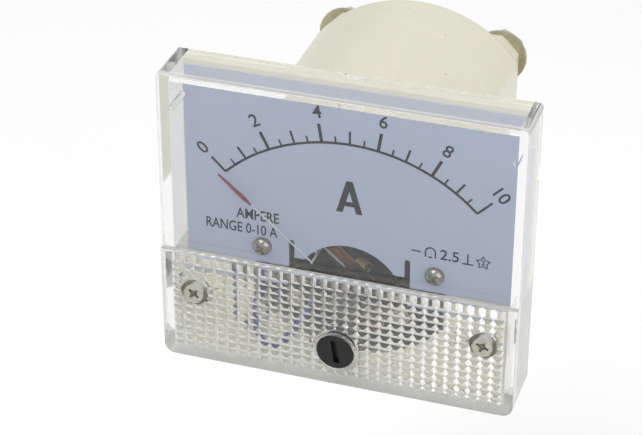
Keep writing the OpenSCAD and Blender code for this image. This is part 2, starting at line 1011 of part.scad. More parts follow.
module terminal_nuts() {
  color([0.82, 0.81, 0.76])
    both_sides()
      at(terminal_x, terminal_z)
        difference() {
          hex(terminal_nut_across, nut_y, nut_y + terminal_nut_t);
          rod(bolt_root_r + screw_gap, pad_y, nut_y + terminal_nut_t + 1);
        }
}

// ---- mounting studs ----

module mounting_studs() {
  color([0.75, 0.74, 0.7])
    both_sides()
      at(stud_x, stud_z) {
        rod(stud_head_r, -stud_head_t, 0);
        rod(stud_r, -0.1, stud_plain);
        rod(stud_root_r, stud_plain - 0.1, stud_len - 0.4);
        cone(stud_root_r, stud_root_r - 0.4, stud_len - 0.4, stud_len);
      }
}

module stud_washers() {
  color([0.78, 0.78, 0.76])
    both_sides()
      at(stud_x, stud_z)
        ring(stud_washer_r, stud_root_r + 0.3, stud_plain, stud_nut_y);
}

module stud_nuts() {
  color([0.8, 0.8, 0.77])
    both_sides()
      at(stud_x, stud_z)
        difference() {
          hex(stud_nut_across, stud_nut_y, stud_nut_y + stud_nut_t);
          rod(stud_root_r + screw_gap, 0, stud_nut_y + stud_nut_t + 1);
        }
}

front_cover();
rear_case();
dial_plate();
scale_marks();
dial_screws();
cover_screws();
zero_adjuster();
adjuster_clip();
zero_lever();
front_hairspring();
rear_hairspring();
pointer();
pointer_tip();
balance_weights();
moving_coil();
coil_former();
pivot_hubs();
front_bridge();
rear_bridge();
front_jewel_screw();
rear_jewel_screw();
jewel_lock_nuts();
bridge_posts();
bridge_screws();
iron_core();
core_screw();
core_bracket();
left_pole_piece();
right_pole_piece();
magnet();
movement_screws();
pointer_stops();
shunt_strip();
terminal_tags();
blue_lead();
red_lead();
terminal_bolts();
terminal_washers();
terminal_spring_washers();
terminal_nuts();
mounting_studs();
stud_washers();
stud_nuts();
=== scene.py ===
import math

import bpy
from mathutils import Matrix, Vector


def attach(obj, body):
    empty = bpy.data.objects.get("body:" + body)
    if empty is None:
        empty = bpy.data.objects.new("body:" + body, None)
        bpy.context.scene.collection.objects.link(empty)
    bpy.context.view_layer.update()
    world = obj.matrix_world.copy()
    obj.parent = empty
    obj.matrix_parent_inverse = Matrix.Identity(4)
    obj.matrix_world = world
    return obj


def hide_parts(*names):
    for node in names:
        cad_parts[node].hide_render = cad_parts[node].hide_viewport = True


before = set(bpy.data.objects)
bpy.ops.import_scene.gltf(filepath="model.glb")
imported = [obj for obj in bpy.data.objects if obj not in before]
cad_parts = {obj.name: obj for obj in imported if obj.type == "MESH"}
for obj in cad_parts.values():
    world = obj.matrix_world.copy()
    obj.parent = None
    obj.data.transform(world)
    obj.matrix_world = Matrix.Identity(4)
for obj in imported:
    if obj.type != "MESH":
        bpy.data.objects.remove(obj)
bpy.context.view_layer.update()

# Sizes are in millimetres until a piece is finished, X to the right, Y to the back and Z up.
MM = 0.001

COVER_HALF_X = 32.0
COVER_HALF_Z = 28.0
FRONT_Y = -11.0
WINDOW_Y = -10.1
LEDGE_Z = -6.0
DIAL_Y = -2.35
ARC_Z = -15.6
ADJUSTER_Z = -21.2
COVER_SCREWS = ((-26.15, -14.5), (26.15, -14.5))
DIAL_SCREWS = ((-15.65, -6.7), (15.65, -6.7))
TERMINAL_X, TERMINAL_Z = 14.8, 13.2
STUD_X, STUD_Z = 25.5, -21.5


# ---------------------------------------------------------------- hand tools

def let_go():
    """Leaves edit mode with nothing selected."""
    if bpy.context.object and bpy.context.object.mode != "OBJECT":
        bpy.ops.object.mode_set(mode="OBJECT")
    bpy.ops.object.select_all(action="DESELECT")


def hold(obj):
    """Selects one piece alone."""
    let_go()
    obj.select_set(True)
    bpy.context.view_layer.objects.active = obj


def named(name):
    """Names the piece that was just added."""
    obj = bpy.context.object
    obj.name = name
    obj.data.name = name
    return obj


def settle(obj):
    """Puts place, turn and size into the mesh."""
    hold(obj)
    bpy.ops.object.transform_apply(location=True, rotation=True, scale=True)
    return obj


def block(name, lo, hi):
    """A box between two opposite corners."""
    let_go()
    middle = [(a + b) / 2 for a, b in zip(lo, hi)]
    bpy.ops.mesh.primitive_cube_add(size=1, location=middle)
    obj = named(name)
    obj.scale = [b - a for a, b in zip(lo, hi)]
    return settle(obj)


def turned(name, x, z, profile, sides=48):
    """A turned piece on an axis along Y: profile lists (y, radius) from front to back."""
    let_go()
    y0, r0 = profile[0]
    bpy.ops.mesh.primitive_circle_add(
        vertices=sides, radius=r0, fill_type="NGON", location=(x, y0, z), rotation=(math.pi / 2, 0, 0)
    )
    obj = settle(named(name))
    bpy.ops.object.mode_set(mode="EDIT")
    bpy.ops.mesh.select_all(action="SELECT")
    before_y, before_r = y0, r0
    for y, r in profile[1:]:
        bpy.ops.mesh.extrude_region_move(TRANSFORM_OT_translate={"value": (0, y - before_y, 0)})
        share = r / before_r
        if abs(share - 1) > 1e-6:
            bpy.ops.transform.resize(value=(share, 1, share), center_override=(x, y, z))
        before_y, before_r = y, r
    bpy.ops.mesh.select_all(action="SELECT")
    bpy.ops.mesh.normals_make_consistent(inside=False)
    bpy.ops.object.mode_set(mode="OBJECT")
    return obj


def combine(obj, other, how):
    hold(obj)
    bpy.ops.object.modifier_add(type="BOOLEAN")
    step = obj.modifiers[-1]
    step.operation = how
    step.solver = "EXACT"
    step.object = other
    bpy.ops.object.modifier_apply(modifier=step.name)
    bpy.data.objects.remove(other)
    return obj


def cut(obj, other):
    return combine(obj, other, "DIFFERENCE")


def add(obj, other):
    return combine(obj, other, "UNION")


def common(obj, other):
    return combine(obj, other, "INTERSECT")


def spun(obj, x, z, turn):
    """Turns a piece round an axis along Y."""
    hold(obj)
    obj.data.transform(
        Matrix.Translation((x, 0, z)) @ Matrix.Rotation(turn, 4, "Y") @ Matrix.Translation((-x, 0, -z))
    )
    return obj


def cross_recess(obj, x, z, front_y, depth, arm, width, turn):
    """A cross for the screwdriver, deepest in the middle."""
    for quarter in (0, math.pi / 2):
        low = (x - arm, front_y - 1, z - width / 2)
        high = (x + arm, front_y + depth * 0.75, z + width / 2)
        cut(obj, spun(block("cross", low, high), x, z, turn + quarter))
    cut(obj, turned("cross middle", x, z, [(front_y - 0.3, arm * 0.62), (front_y + depth, arm * 0.25)], 16))
    return obj


def soften(obj, width, segments=3, angle=35):
    """Rounds the edges that are sharper than the angle."""
    hold(obj)
    bpy.ops.object.modifier_add(type="BEVEL")
    step = obj.modifiers[-1]
    step.width = width
    step.segments = segments
    step.limit_method = "ANGLE"
    step.angle_limit = math.radians(angle)
    bpy.ops.object.modifier_apply(modifier=step.name)
    return obj


def smooth(obj, angle=30):
    """Smooth shading, with the edges above the angle kept crisp."""
    hold(obj)
    bpy.ops.object.shade_smooth_by_angle(angle=math.radians(angle))
    return true_faces(obj)


def true_faces(obj):
    """Keeps large flat faces truly flat, so that nothing bends what is seen through them."""
    hold(obj)
    bpy.ops.object.modifier_add(type="WEIGHTED_NORMAL")
    step = obj.modifiers[-1]
    step.weight = 100
    step.keep_sharp = True
    bpy.ops.object.modifier_apply(modifier=step.name)
    return obj


def finish_piece(obj, body, finish):
    """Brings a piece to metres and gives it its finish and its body."""
    settle(obj)
    obj.scale = (MM, MM, MM)
    settle(obj)
    obj.data.materials.clear()
    obj.data.materials.append(finish)
    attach(obj, body)
    return obj


# ---------------------------------------------------------------- finishes

PLASTIC_IOR = 1.49
GLOSS_WAVER = 0.04
WAVE_PERIOD = 0.314  # of the wave texture at scale 1


def finish_of(name, colour, roughness=0.5, metallic=0.0):
    """A plain finish to build on: the material and its shader."""
    mat = bpy.data.materials.new(name)
    mat.use_nodes = True
    bsdf = mat.node_tree.nodes["Principled BSDF"]
    bsdf.inputs["Base Color"].default_value = (*colour, 1)
    bsdf.inputs["Roughness"].default_value = roughness
    bsdf.inputs["Metallic"].default_value = metallic
    return mat, bsdf


def dull_gloss(mat, level):
    """Weakens the mirror gloss of a finish."""
    mat.node_tree.nodes["Principled BSDF"].inputs["Specular IOR Level"].default_value = level
    return mat


def object_place(tree):
    """The place on the piece, in metres."""
    return tree.nodes.new("ShaderNodeTexCoord").outputs["Object"]


def split(tree, vector):
    """The X, Y and Z of a vector."""
    parts = tree.nodes.new("ShaderNodeSeparateXYZ")
    tree.links.new(vector, parts.inputs["Vector"])
    return parts.outputs


def sum_of(tree, operation, first, second=None):
    """One step of arithmetic on sockets or numbers."""
    step = tree.nodes.new("ShaderNodeMath")
    step.operation = operation
    for value, socket in zip((first, second), step.inputs):
        if isinstance(value, float):
            socket.default_value = value
        elif value is not None:
            tree.links.new(value, socket)
    return step.outputs[0]


def spread_over(tree, value, source, target=(0.0, 1.0)):
    """Carries a value from one range over to another."""
    step = tree.nodes.new("ShaderNodeMapRange")
    step.inputs["From Min"].default_value, step.inputs["From Max"].default_value = source
    step.inputs["To Min"].default_value, step.inputs["To Max"].default_value = target
    tree.links.new(value, step.inputs["Value"])
    return step.outputs["Result"]


def raise_surface(tree, height, strength, distance):
    """Fine relief from a height."""
    relief = tree.nodes.new("ShaderNodeBump")
    relief.inputs["Strength"].default_value = strength
    relief.inputs["Distance"].default_value = distance
    tree.links.new(height, relief.inputs["Height"])
    tree.links.new(relief.outputs["Normal"], tree.nodes["Principled BSDF"].inputs["Normal"])


# The colour darkens and yellows what is seen through the plastic. It is partly the plastic's own faint tint
# and partly painted shade, standing in for the shadow that the cover, which casts none, would throw inside.
def clear_plastic(name, haze, roughness, colour=(0.93, 0.93, 0.915)):
    """Clear plastic: haze is the share of light that it scatters."""
    mat, bsdf = finish_of(name, colour, roughness)
    bsdf.inputs["Transmission Weight"].default_value = 1.0 - haze
    bsdf.inputs["IOR"].default_value = PLASTIC_IOR
    return mat


def frost_front(mat, start, end, frosted, clear):
    """Lets the share of clear light rise from frosted to clear between two depths."""
    tree = mat.node_tree
    depth = split(tree, object_place(tree))["Y"]
    share = spread_over(tree, depth, (start * MM, end * MM), (frosted, clear))
    tree.links.new(share, tree.nodes["Principled BSDF"].inputs["Transmission Weight"])


def cutter_marks(mat, strength, pitch=0.34, top=-6.0, full=-7.0):
    """Fine ribs that the milling cutter left in the mould, from the height top downwards."""
    tree = mat.node_tree
    parts = split(tree, object_place(tree))
    waves = [
        sum_of(tree, "SINE", sum_of(tree, "MULTIPLY", parts[side], 2 * math.pi / (pitch * MM)))
        for side in ("X", "Z")
    ]
    below = spread_over(tree, parts["Z"], (top * MM, full * MM))
    ribs = sum_of(tree, "MULTIPLY", sum_of(tree, "ADD", *waves), below)
    raise_surface(tree, ribs, strength, 0.03 * MM)


def mottled(name, colour, roughness=0.4, metallic=0.0, scale=900, depth=0.1, bump=0.02):
    """A finish whose colour, gloss and surface waver a little; depth is the share in colour."""
    mat, bsdf = finish_of(name, colour, roughness, metallic)
    tree = mat.node_tree
    links = tree.links
    noise = tree.nodes.new("ShaderNodeTexNoise")
    noise.inputs["Scale"].default_value = scale
    noise.inputs["Detail"].default_value = 4
    links.new(object_place(tree), noise.inputs["Vector"])
    ramp = tree.nodes.new("ShaderNodeValToRGB")
    darker, lighter = ramp.color_ramp.elements
    darker.position, lighter.position = 0.3, 0.7
    darker.color = (*[c * (1 - depth) for c in colour], 1)
    lighter.color = (*[min(1, c * (1 + depth * 0.5)) for c in colour], 1)
    links.new(noise.outputs["Fac"], ramp.inputs["Fac"])
    links.new(ramp.outputs["Color"], bsdf.inputs["Base Color"])
    glosses = (max(0.02, roughness - GLOSS_WAVER), roughness + GLOSS_WAVER)
    links.new(spread_over(tree, noise.outputs["Fac"], (0.0, 1.0), glosses), bsdf.inputs["Roughness"])
    raise_surface(tree, noise.outputs["Fac"], bump, 0.1 * MM)
    return mat


def specks(mat, colour, scale, limit, share=0.25):
    """Adds small specks of dirt over a finish, in a share of the cells of a pattern."""
    tree = mat.node_tree
    base = tree.nodes["Principled BSDF"].inputs["Base Color"]
    under = base.links[0].from_socket
    cells = tree.nodes.new("ShaderNodeTexVoronoi")
    cells.inputs["Scale"].default_value = scale
    tree.links.new(object_place(tree), cells.inputs["Vector"])
    shade = tree.nodes.new("ShaderNodeSeparateColor")
    tree.links.new(cells.outputs["Color"], shade.inputs["Color"])
    spot = sum_of(tree, "LESS_THAN", cells.outputs["Distance"], limit)
    few = sum_of(tree, "GREATER_THAN", shade.outputs["Red"], 1.0 - share)
    mix = tree.nodes.new("ShaderNodeMix")
    mix.data_type = "RGBA"
    # The colour sockets share their names with the number sockets, so they are reached by place.
    factor, first, second = mix.inputs[0], mix.inputs[6], mix.inputs[7]
    second.default_value = (*colour, 1)
    tree.links.new(sum_of(tree, "MULTIPLY", spot, few), factor)
    tree.links.new(under, first)
    tree.links.new(mix.outputs[2], base)
    return mat


def wound(mat, pitch):
    """Adds the ridges of turns of wire to a finish."""
    tree = mat.node_tree
    wave = tree.nodes.new("ShaderNodeTexWave")
    wave.bands_direction = "Y"
    wave.inputs["Scale"].default_value = WAVE_PERIOD / (pitch * MM)
    tree.links.new(object_place(tree), wave.inputs["Vector"])
    raise_surface(tree, wave.outputs["Fac"], 0.6, 0.05 * MM)
    return mat


# The tints of these plastics are partly their own tint and partly painted shade, which dims the inside of
# the meter in place of the cover's shadow.
CLEAR = dull_gloss(clear_plastic("clear moulded plastic", 0.0, 0.02), 0.2)
FAINT = dull_gloss(clear_plastic("faintly hazy moulded plastic", 0.07, 0.04, (0.86, 0.86, 0.845)), 0.2)
EDGES = clear_plastic("frosted edge of the moulding", 0.6, 0.2, (0.84, 0.84, 0.83))
PITTED = dull_gloss(clear_plastic("pitted moulded plastic", 0.04, 0.03, (0.86, 0.86, 0.835)), 0.2)
# Painted shade: the grey of this hazy plastic darkens the lower borders and side walls of the cover, below
# the ledge.
HAZY_PLASTIC_IN_PAINTED_SHADE = clear_plastic("hazy moulded plastic", 0.35, 0.1, (0.66, 0.66, 0.635))
frost_front(FAINT, WINDOW_Y + 0.9, WINDOW_Y + 1.5, 0.5, 0.93)
cutter_marks(HAZY_PLASTIC_IN_PAINTED_SHADE, 0.5)
CREAM = specks(
    mottled("cream moulded plastic", (0.665, 0.645, 0.53), 0.33, depth=0.025, scale=300),
    (0.16, 0.12, 0.08), 260, 0.035
)
DIAL = mottled("dial paint", (0.36, 0.414, 0.55), 0.55, depth=0.01, bump=0.0)
INK = dull_gloss(mottled("dial ink", (0.005, 0.007, 0.012), 0.6, depth=0.1), 0.1)
NICKEL = mottled("nickel plate", (0.36, 0.34, 0.3), 0.1, 1.0, depth=0.15)
GREY_NICKEL = mottled("worn nickel plate", (0.45, 0.44, 0.37), 0.35, 0.6, depth=0.2)
BLACK = dull_gloss(mottled("black moulded plastic", (0.007, 0.007, 0.008), 0.35, depth=0.2), 0.3)
STEEL = mottled("bright steel", (0.55, 0.55, 0.55), 0.3, 1.0, depth=0.08)
DARK_STEEL = mottled("dulled steel", (0.13, 0.13, 0.12), 0.4, 0.9, depth=0.15)
BRASS = mottled("turned brass", (0.55, 0.4, 0.17), 0.3, 1.0, depth=0.1)
# Painted shade: this brass is made near black to stand for the shade in the recess of the movement, where
# the bridges, posts, nuts, bracket and lever sit.
BRASS_IN_PAINTED_SHADE = mottled("brass darkened by painted shade", (0.12, 0.1, 0.06), 0.42, 0.8, depth=0.25)
BRONZE = mottled("spring bronze", (0.3, 0.2, 0.11), 0.3, 1.0, depth=0.1)
ALUMINIUM = mottled("drawn aluminium", (0.75, 0.76, 0.78), 0.3, 1.0, depth=0.05)
NEEDLE = mottled("needle tube", (0.4, 0.44, 0.54), 0.45, 0.2, depth=0.03)
RED = mottled("red lacquer", (0.17, 0.01, 0.016), 0.45, depth=0.08)
COPPER = wound(mottled("varnished copper", (0.22, 0.085, 0.035), 0.3, 0.4, depth=0.15), 0.22)
# Partly the iron's own dark grey and partly painted shade: the core and pole pieces are darkened further to
# stand for the shade inside the barrel.
IRON_WITH_PAINTED_SHADE = mottled("dark soft iron", (0.022, 0.023, 0.023), 0.45, 0.7, depth=0.25)
MAGNET = mottled("cast magnet alloy", (0.06, 0.06, 0.065), 0.55, 0.5, depth=0.3)
MANGANIN = mottled("resistance strip", (0.42, 0.24, 0.14), 0.35, 1.0, depth=0.1)
BLUE = mottled("blue insulation", (0.016, 0.03, 0.2), 0.35, depth=0.1)
LEAD_RED = mottled("red insulation", (0.35, 0.02, 0.02), 0.35, depth=0.1)
PLATED = mottled("plated brass", (0.8, 0.78, 0.7), 0.25, 1.0, depth=0.1)
WASHER = mottled("plated washer", (0.5, 0.47, 0.33), 0.3, 0.85, depth=0.12)

NODE_FINISH = {
    "rear_case": CREAM, "dial_plate": DIAL, "scale_marks": INK,
    "adjuster_clip": DARK_STEEL, "zero_lever": BRASS_IN_PAINTED_SHADE,
    "front_hairspring": BRONZE, "rear_hairspring": BRONZE, "pointer": NEEDLE,
    "pointer_tip": RED, "balance_weights": DARK_STEEL, "moving_coil": COPPER, "coil_former": ALUMINIUM,
    "pivot_hubs": STEEL, "front_bridge": BRASS_IN_PAINTED_SHADE, "rear_bridge": BRASS_IN_PAINTED_SHADE,
    "front_jewel_screw": DARK_STEEL, "rear_jewel_screw": BRASS, "jewel_lock_nuts": BRASS_IN_PAINTED_SHADE,
    "bridge_posts": BRASS_IN_PAINTED_SHADE, "bridge_screws": NICKEL, "iron_core": IRON_WITH_PAINTED_SHADE, "core_screw": BRASS,
    "core_bracket": BRASS_IN_PAINTED_SHADE, "left_pole_piece": IRON_WITH_PAINTED_SHADE, "right_pole_piece": IRON_WITH_PAINTED_SHADE, "magnet": MAGNET,
    "movement_screws": NICKEL, "pointer_stops": STEEL, "shunt_strip": MANGANIN,
    "terminal_tags": BRASS, "red_lead": LEAD_RED,
    "terminal_washers": WASHER, "terminal_spring_washers": STEEL, "stud_washers": STEEL,
}


# ---------------------------------------------------------------- clear cover

INNER_X = 30.2
INNER_Z = 26.2
INNER_LEDGE_Z = -6.9
WINDOW_BACK_Y = WINDOW_Y + 2
BAND_BACK_Y = FRONT_Y + 1.4
BOSS_RADIUS = 3.95
POST_RADIUS = 2.5
SEAT_RADIUS = 1.84
SCREW_RADIUS = 1.3

# The pits stand in a grid of cells, WAFFLE_STEP wide and WAFFLE_ROW high.
WAFFLE_STEP = 2.0
WAFFLE_COLUMNS = 30
WAFFLE_ROW = 1.49
WAFFLE_ROWS = 13
WAFFLE_X = -0.25
WAFFLE_FIRST = -9.02
WAFFLE_DEPTH = 0.68


def select_edges_along_y(obj, low):
    """Selects the long corner edges of the cover's block, the lower pair or the upper pair."""
    hold(obj)
    bpy.ops.object.mode_set(mode="EDIT")
    bpy.ops.mesh.select_mode(type="EDGE")
    bpy.ops.mesh.select_all(action="DESELECT")
    bpy.ops.object.mode_set(mode="OBJECT")
    for edge in obj.data.edges:
        a, b = [obj.data.vertices[i].co for i in edge.vertices]
        along = abs(a.y - b.y) > 1 and abs(a.x - b.x) < 1e-4 and abs(a.z - b.z) < 1e-4
        edge.select = along and ((a.z < 0) == low)
    bpy.ops.object.mode_set(mode="EDIT")


def waffle_pits():
    """The pyramid-shaped pits in the inner face of the band, their tips towards the front.

    The first row is drawn out upwards, and the ledge's underside and the bottom wall cut the outer rows.
    """
    let_go()
    low = WAFFLE_FIRST - (WAFFLE_ROWS - 1) * WAFFLE_ROW
    high = WAFFLE_FIRST + WAFFLE_ROW
    bpy.ops.mesh.primitive_grid_add(
        x_subdivisions=WAFFLE_COLUMNS, y_subdivisions=WAFFLE_ROWS, size=1,
        location=(WAFFLE_X, BAND_BACK_Y, (low + high) / 2), rotation=(math.pi / 2, 0, 0)
    )
    obj = named("waffle pits")
    obj.scale = (WAFFLE_COLUMNS * WAFFLE_STEP, high - low, 1)
    settle(obj)
    for vert in obj.data.vertices:
        vert.select = abs(vert.co.z - high) < 0.01
    for edge in obj.data.edges:
        edge.select = all(abs(obj.data.vertices[i].co.z - high) < 0.01 for i in edge.vertices)
    for face in obj.data.polygons:
        face.select = False
    bpy.ops.object.mode_set(mode="EDIT")
    bpy.ops.mesh.select_mode(type="EDGE")
    bpy.ops.transform.translate(value=(0, 0, 3))
    bpy.ops.mesh.select_mode(type="FACE")
    bpy.ops.mesh.select_all(action="SELECT")
    bpy.ops.mesh.inset(thickness=WAFFLE_DEPTH, depth=WAFFLE_DEPTH, use_individual=True)
    bpy.ops.mesh.select_all(action="SELECT")
    bpy.ops.mesh.extrude_region_move(TRANSFORM_OT_translate={"value": (0, 1.0, 0)})
    for z, up in ((INNER_LEDGE_Z, True), (-INNER_Z, False)):
        bpy.ops.mesh.select_all(action="SELECT")
        bpy.ops.mesh.bisect(
            plane_co=(0, 0, z), plane_no=(0, 0, 1), use_fill=True, clear_outer=up, clear_inner=not up
        )
    bpy.ops.mesh.select_all(action="SELECT")
    bpy.ops.mesh.normals_make_consistent(inside=False)
    bpy.ops.object.mode_set(mode="OBJECT")
    return obj


def cover_block():
    """The outside of the cover: a block with a window set back above the ledge, and a low boss."""
    body = block(
        "clear_cover", (-COVER_HALF_X, FRONT_Y, -COVER_HALF_Z), (COVER_HALF_X, 0, COVER_HALF_Z)
    )
    select_edges_along_y(body, True)
    bpy.ops.mesh.bevel(offset=2.0, segments=8, affect="EDGES")
    select_edges_along_y(body, False)
    bpy.ops.mesh.bevel(offset=0.7, segments=4, affect="EDGES")
    cut(body, block("step", (-40, FRONT_Y - 5, LEDGE_Z), (40, WINDOW_Y, 40)))
    rise = [(FRONT_Y - 0.2, BOSS_RADIUS), (FRONT_Y + 0.5, BOSS_RADIUS)]
    add(body, turned("boss", 0, ADJUSTER_Z, rise, 64))
    soften(body, 0.3, 3)
    hold(body)
    bpy.ops.object.shade_smooth_by_angle(angle=math.radians(30))
    return body


def cover_inside():
    """The room inside the cover, which leaves a boss, two screw posts and two side ribs standing."""
    inside = block("inside", (-INNER_X, BAND_BACK_Y, -INNER_Z), (INNER_X, 2, INNER_LEDGE_Z))
    add(inside, block("inside window", (-INNER_X, WINDOW_BACK_Y, -7.5), (INNER_X, 2, INNER_Z)))
    cut(inside, turned("boss room", 0, ADJUSTER_Z, [(-12, BOSS_RADIUS), (-8, BOSS_RADIUS)], 64))
    for x, z in COVER_SCREWS:
        cut(inside, turned("post room", x, z, [(-12, POST_RADIUS), (-7, POST_RADIUS)], 48))
    for x0, x1 in ((-31.5, -29.4), (29.4, 31.5)):
        cut(inside, block("rib room", (x0, -9, 20.6), (x1, DIAL_Y - 0.3, 21.4)))
    return inside


def cut_seats(body):
    """The seats and holes for the adjuster and the two screws, and the two notches."""
    cut(body, turned("adjuster seat", 0, ADJUSTER_Z, [(-13, 3.53), (-9.7, 3.53)], 64))
    cut(body, turned("adjuster neck", 0, ADJUSTER_Z, [(-11, 2.1), (-6, 2.1)], 48))
    seat = [(-13, SEAT_RADIUS), (-10.6, SEAT_RADIUS), (-10.4, SCREW_RADIUS), (-9.6, SCREW_RADIUS)]
    for x, z in COVER_SCREWS:
        cut(body, turned("screw seat", x, z, seat, 48))
        cut(body, turned("screw hole", x, z, [(-11, SCREW_RADIUS), (-5, SCREW_RADIUS)], 32))
    cut(body, block("side notch", (31.5, -1, 13.3), (33, 1, 16.5)))
    cut(body, block("top notch", (-1.7, -0.8, 25.7), (1.7, 1, 29)))


def plastic_of(face):
    """Which of the cover's plastics a face has, judged from its middle and the way it faces."""
    x, y, z = face.center / MM
    behind_front = y > FRONT_Y + 0.1
    if behind_front and any(math.hypot(x - sx, z - sz) < 2 for sx, sz in COVER_SCREWS):
        return EDGES
    if behind_front and y < BAND_BACK_Y + 0.01 and z < INNER_LEDGE_Z - 0.05:
        return PITTED
    if z > INNER_Z - 0.1 and max(abs(part) for part in face.normal) < 0.97:
        return EDGES
    if abs(x) > INNER_X - 0.1 or abs(z) > INNER_Z - 0.1 or -7.5 < z < -5.5:
        return HAZY_PLASTIC_IN_PAINTED_SHADE if z < -5.5 else FAINT
    return CLEAR


def clear_cover():
    body = cover_block()
    cut(body, cover_inside())
    pits = waffle_pits()
    cut(pits, turned("boss clear", 0, ADJUSTER_Z, [(-14, 4.25), (-5, 4.25)], 64))
    for x, z in COVER_SCREWS:
        cut(pits, turned("post clear", x, z, [(-14, POST_RADIUS), (-5, POST_RADIUS)], 48))
    cut(body, pits)
    cut_seats(body)
    true_faces(body)
    finish_piece(body, "housing", CLEAR)
    for slot, plastic in enumerate((HAZY_PLASTIC_IN_PAINTED_SHADE, FAINT, EDGES, PITTED), start=1):
        body.data.materials.append(plastic)
        for face in body.data.polygons:
            face.select = plastic_of(face) == plastic
        hold(body)
        bpy.ops.object.mode_set(mode="EDIT")
        body.active_material_index = slot
        bpy.ops.object.material_slot_assign()
        bpy.ops.object.mode_set(mode="OBJECT")
    body.visible_shadow = False
    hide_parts("front_cover")


clear_cover()


# ---------------------------------------------------------------- screws, nuts and studs

def round_head(radius, front_y, height):
    """Profile of a domed head, from its crown to its underside."""
    points = []
    for i in range(6):
        angle = math.radians(12 + 15.6 * i)
        points.append((front_y + height * 0.75 * (1 - math.cos(angle)), radius * math.sin(angle)))
    return points + [(front_y + height, radius)]


def dial_screws():
    """Domed screws, whose heads sit a little off the middle of their holes."""
    for side, (x, z) in zip(("left", "right"), DIAL_SCREWS):
        screw = turned("dial_screw_" + side, x, z, [(DIAL_Y - 0.5, 0.95), (2.6, 0.95)], 40)
        head_x, head_z, crown_y = x - 0.15, z - 0.3, DIAL_Y - 1.55
        add(screw, turned("head", head_x, head_z, round_head(1.7, crown_y, 1.53), 40))
        cross_recess(screw, head_x, head_z, crown_y, 0.95, 1.15, 0.42, math.radians(-38))
        smooth(screw, 35)
        finish_piece(screw, "housing", NICKEL)
        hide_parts("dial_screws")


def cover_screws():
    """Flat screws, sunk into the posts of the cover, each stopped at its own angle."""
    face_y = FRONT_Y + 0.16
    outline = [
        (face_y, 1.5), (face_y + 0.02, 1.65), (face_y + 0.08, 1.76), (face_y + 0.22, 1.78),
        (face_y + 0.44, 1.2), (-2.6, 1.2)
    ]
    for side, turn, (x, z) in zip(("left", "right"), (40, 22), COVER_SCREWS):
        screw = turned("cover_screw_" + side, x, z, outline, 40)
        cross_recess(screw, x, z, face_y, 1.1, 1.15, 0.5, math.radians(turn))
        smooth(screw, 35)
        finish_piece(screw, "housing", GREY_NICKEL)
        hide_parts("cover_screws")


def thread(radius, root, start, end, pitch):
    """Profile of a thread, as ridges."""
    points = []
    turns = int((end - start) / pitch)
    for i in range(turns):
        y = start + i * pitch
        points += [(y, root), (y + pitch * 0.4, radius), (y + pitch * 0.6, radius)]
    return points + [(start + turns * pitch, root)]


def hexagon_nut(name, x, z, across, y0, y1, bore):
    """A nut with chamfered corners, open towards the back."""
    corner = across / 2 / math.cos(math.pi / 6)
    nut = turned(name, x, z, [(y0, corner), (y1, corner)], 6)
    flank = [
        (y0 - 0.01, across / 2 * 0.97), (y0 + 0.4, corner * 1.02), (y1 - 0.4, corner * 1.02),
        (y1 + 0.01, across / 2 * 0.97)
    ]
    common(nut, turned("chamfer", x, z, flank, 48))
    cut(nut, turned("bore", x, z, [(y0 - 1, bore), (y1 - 0.25, bore), (y1 + 0.3, bore + 0.5)], 32))
    return smooth(nut, 25)


def threaded_rod(name, x, z, profile, finish, node, sides):
    """A turned rod that takes the place of one of the plain rods of a node."""
    rod = turned(name, x, z, profile, sides)
    smooth(rod, 20)
    finish_piece(rod, "housing", finish)
    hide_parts(node)


def terminals():
    bolt = [(33.8, 2.2), (33.9, 2.4), (35.7, 2.4), (35.75, 1.75), (44.9, 1.75)]
    bolt += thread(2.0, 1.72, 44.95, 47.4, 0.5) + [(47.6, 1.8), (48, 1.45)]
    for side, x in (("left", -TERMINAL_X), ("right", TERMINAL_X)):
        threaded_rod(
            "terminal_bolt_" + side, x, TERMINAL_Z, bolt, PLATED, "terminal_bolts", 40
        )
        nut = hexagon_nut("terminal_nut_" + side, x, TERMINAL_Z, 7, 42.6, 44.8, 1.8)
        finish_piece(nut, "housing", PLATED)
        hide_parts("terminal_nuts")


def studs():
    stud = [(-1.4, 2.2), (-1.3, 2.4), (-0.15, 2.4), (0, 1.5), (7.6, 1.5), (7.8, 1.27)]
    stud += thread(1.5, 1.27, 7.9, 13.5, 0.5) + [(13.6, 1.3), (14, 0.95)]
    for side, x in (("left", -STUD_X), ("right", STUD_X)):
        threaded_rod("mounting_stud_" + side, x, STUD_Z, stud, STEEL, "mounting_studs", 32)
        nut = hexagon_nut("stud_nut_" + side, x, STUD_Z, 5.5, 8.9, 11.3, 1.35)
        finish_piece(nut, "housing", STEEL)
        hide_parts("stud_nuts")


def adjuster():
    """The black disc with its slot, and the eccentric pin that swings the lever."""
    outline = [
        (-11.03, 2.9), (-11.05, 3.2), (-11.02, 3.32), (-10.93, 3.42), (-10.8, 3.45),
        (-9.75, 3.45), (-9.7, 3.3), (-9.69, 2.02), (-7.4, 2.02)
    ]
    knob = turned("zero_adjuster_knob", 0, ADJUSTER_Z, outline, 64)
    slot = block("knob slot", (-0.5, -12, ADJUSTER_Z - 2.25), (0.5, -10.1, ADJUSTER_Z + 2.25))
    cut(knob, spun(slot, 0, ADJUSTER_Z, math.radians(-8)))
    add(knob, turned("pin", 0, ADJUSTER_Z + 1, [(-7.6, 0.5), (-0.4, 0.5), (-0.3, 0.4)], 24))
    soften(knob, 0.08, 2, 50)
    smooth(knob, 30)
    finish_piece(knob, "adjuster", BLACK)
    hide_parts("zero_adjuster")


